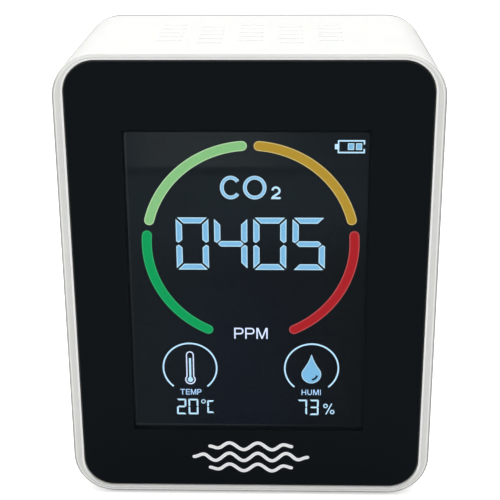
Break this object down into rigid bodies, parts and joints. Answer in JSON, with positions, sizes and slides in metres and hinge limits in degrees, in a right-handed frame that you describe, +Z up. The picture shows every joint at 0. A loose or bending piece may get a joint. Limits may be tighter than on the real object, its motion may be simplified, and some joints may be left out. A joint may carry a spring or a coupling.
{
  "type": "carbon dioxide monitor",
  "caption": "Free-standing battery-powered air monitor: white upright box with a full-face dark lens over a segment display, vented top and rear, rear power button and charging port.",
  "frame": {"origin": "on the resting plane (the undersides of the rubber feet), under the centre of the housing's footprint", "axes": "+Z up, the display faces -Y, +X is to the right of someone facing the display"},
  "size_m": [0.075, 0.044, 0.095],
  "materials": {
    "housing_white": "fine satin moulded ABS",
    "button_white": "satin moulded ABS",
    "lens_smoked": "polished, lightly smoked acrylic",
    "print_black": "screen-printed ink",
    "tape_black": "double-sided foam tape",
    "display_glass": "polished float glass",
    "polariser_film": "smooth laminated film",
    "colour_film": "printed colour filter film",
    "diffuser_white": "frosted film",
    "light_guide_clear": "polished clear acrylic",
    "reflector_film": "silvered film",
    "frame_white": "moulded polycarbonate",
    "lamp_phosphor": "cast resin over phosphor",
    "flex_amber": "polyimide film with copper tracks",
    "board_green": "solder mask over glass-fibre laminate",
    "chip_black": "moulded epoxy",
    "passive_ceramic": "fired ceramic with tinned ends",
    "tinned_steel": "tinned, drawn sheet",
    "gold_contact": "gold flash",
    "connector_natural": "natural nylon",
    "connector_black": "glass-filled nylon",
    "chamber_gold": "moulded plastic, gold plated",
    "filter_white": "felted dust filter",
    "lamp_glass": "blown glass envelope",
    "battery_foil": "laminated foil pouch",
    "foam_grey": "closed-cell foam tape",
    "wire_red": "silicone sleeve",
    "wire_black": "silicone sleeve",
    "wire_grey": "PVC sleeve",
    "inductor_ferrite": "pressed ferrite",
    "dome_steel": "spring steel sheet",
    "screw_steel": "zinc plated",
    "foot_rubber": "matt silicone rubber"
  },
  "bodies": {
    "body": {"backlight_diffuser": "diffuser_white", "backlight_lamp_strip": "flex_amber", "backlight_lamps": "lamp_phosphor", "backlight_light_guide": "light_guide_clear", "backlight_reflector": "reflector_film", "battery_cell": "battery_foil", "battery_foam_pad": "foam_grey", "battery_lead_negative": "wire_black", "battery_lead_positive": "wire_red", "battery_plug": "connector_natural", "battery_protection_board": "board_green", "battery_socket": "connector_natural", "charger_board": "board_green", "charger_board_passives": "passive_ceramic", "charger_board_screws": "screw_steel", "charger_chip": "chip_black", "charger_inductor": "inductor_ferrite", "charging_port_contacts": "gold_contact", "charging_port_shell": "tinned_steel", "charging_port_tongue": "connector_black", "clock_crystal": "tinned_steel", "co2_sensor_board": "board_green", "co2_sensor_chamber": "chamber_gold", "co2_sensor_detector": "tinned_steel", "co2_sensor_dust_filters": "filter_white", "co2_sensor_header": "connector_black", "co2_sensor_lamp": "lamp_glass", "co2_sensor_pins": "gold_contact", "display_colour_film": "colour_film", "display_driver_chip": "chip_black", "display_flex_cable": "flex_amber", "display_flex_connector": "connector_natural", "display_frame": "frame_white", "display_front_glass": "display_glass", "display_front_polariser": "polariser_film", "display_rear_glass": "display_glass", "display_rear_polariser": "polariser_film", "front_housing": "housing_white", "front_lens": "lens_smoked", "harness_lower_plug": "connector_natural", "harness_lower_socket": "connector_natural", "harness_upper_plug": "connector_natural", "harness_upper_socket": "connector_natural", "harness_wires": "wire_grey", "lens_adhesive_tape": "tape_black", "lens_border_print": "print_black", "main_board": "board_green", "main_board_passives": "passive_ceramic", "main_board_screws": "screw_steel", "microcontroller": "chip_black", "rear_cover": "housing_white", "rear_cover_screws": "screw_steel", "rubber_feet": "foot_rubber", "switch_base": "connector_black", "switch_cover_plate": "tinned_steel", "switch_snap_dome": "dome_steel", "temperature_humidity_sensor": "chip_black"},
    "button": {"power_button": "button_white"},
    "plunger": {"switch_plunger": "connector_black"}
  },
  "joints": [
    {"name": "power_button_press", "type": "slide", "parent": "body", "child": "button", "axis": [0, -1, 0], "range_m": [0, 0.0004], "stiffness_N_per_m": 20},
    {"name": "switch_plunger_press", "type": "slide", "parent": "body", "child": "plunger", "axis": [0, -1, 0], "range_m": [0, 0.00045]}
  ],
  "couplings": [
    {"joint": "switch_plunger_press", "follows": "power_button_press", "ratio": 1}
  ]
}
